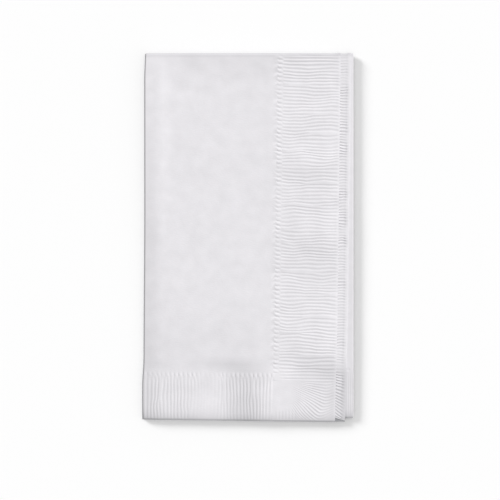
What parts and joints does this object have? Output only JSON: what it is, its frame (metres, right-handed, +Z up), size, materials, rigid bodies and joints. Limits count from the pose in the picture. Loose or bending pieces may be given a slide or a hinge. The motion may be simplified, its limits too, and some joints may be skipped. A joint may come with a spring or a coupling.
{
  "type": "paper napkin",
  "caption": "Flat rectangular folded paper napkin with fine pressed lines along its free edges, for wiping hands and mouth at table.",
  "frame": {"origin": "under the middle of the folded outline, on the face that the napkin lies on", "axes": "+Z up, away from the table; +Y towards the cross fold; +X towards the sheet's free side edges"},
  "size_m": [0.108, 0.1905, 0.0029],
  "materials": {
    "tissue": "matt"
  },
  "bodies": {
    "root": {"napkin": "tissue"}
  },
  "joints": []
}
